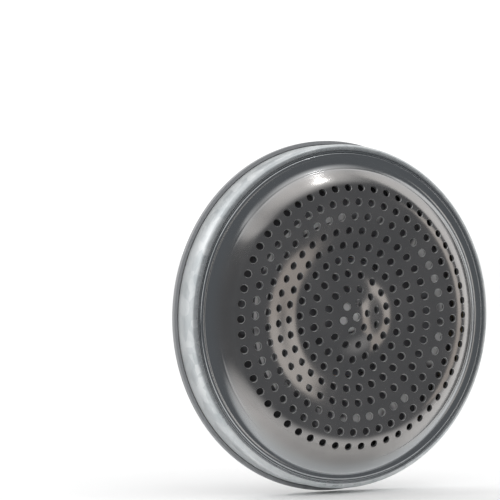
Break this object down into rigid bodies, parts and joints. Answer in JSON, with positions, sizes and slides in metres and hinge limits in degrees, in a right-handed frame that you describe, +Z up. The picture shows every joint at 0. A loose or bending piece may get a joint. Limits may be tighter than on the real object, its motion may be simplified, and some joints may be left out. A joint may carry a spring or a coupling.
{
  "type": "car tweeter",
  "caption": "Slim round moving-coil tweeter: perforated domed steel cap in front, black moulded frame with rear flange, steel magnet cup and soldered terminal board behind.",
  "frame": {"origin": "on the sound axis, in the plane of the seating shoulder where the cap's skirt meets the flange", "axes": "-Y is the front that sound leaves by, +Z is up with the terminal board at the bottom, +X is to the right seen from the front"},
  "size_m": [0.05, 0.0127, 0.05],
  "materials": {
    "cap_steel": "bright plated sheet steel, polished face and spangled skirt",
    "gasket_foam": "closed-cell foam",
    "clamp_plastic": "amber laminate",
    "glue": "cured clear glue",
    "film": "glossy thin film",
    "former_film": "amber film",
    "copper": "enamelled copper wire",
    "plate_steel": "zinc plated",
    "magnet_nickel": "nickel plated",
    "yoke_steel": "dull blue-grey zinc with a worn bright edge",
    "dark_glue": "black glue fillet",
    "felt": "pressed light grey felt",
    "damping_paper": "porous grey damping paper",
    "frame_plastic": "fine satin moulding",
    "board_laminate": "green solder mask",
    "tape": "double-sided tape",
    "pad_copper": "tinned copper",
    "solder": "bright solder"
  },
  "bodies": {
    "housing": {"grille_cap": "cap_steel", "cap_gasket": "gasket_foam", "clamp_ring": "clamp_plastic", "surround_glue": "glue", "diaphragm_surround": "film", "coil_leads": "copper", "top_plate": "plate_steel", "magnet": "magnet_nickel", "magnet_glue": "glue", "yoke_cup": "yoke_steel", "yoke_glue": "dark_glue", "vent_felt": "felt", "damping_paper": "damping_paper", "frame": "frame_plastic", "terminal_board": "board_laminate", "board_tape": "tape", "solder_pads": "pad_copper", "solder_joints": "solder"},
    "moving_coil": {"diaphragm_dome": "film", "coil_former": "former_film", "voice_coil": "copper"}
  },
  "joints": [
    {"name": "coil_travel", "type": "slide", "parent": "housing", "child": "moving_coil", "axis": [0, -1, 0], "range_m": [-0.0004, 0.0004], "stiffness_N_per_m": 400, "deforming": ["diaphragm_surround", "coil_leads"]}
  ]
}
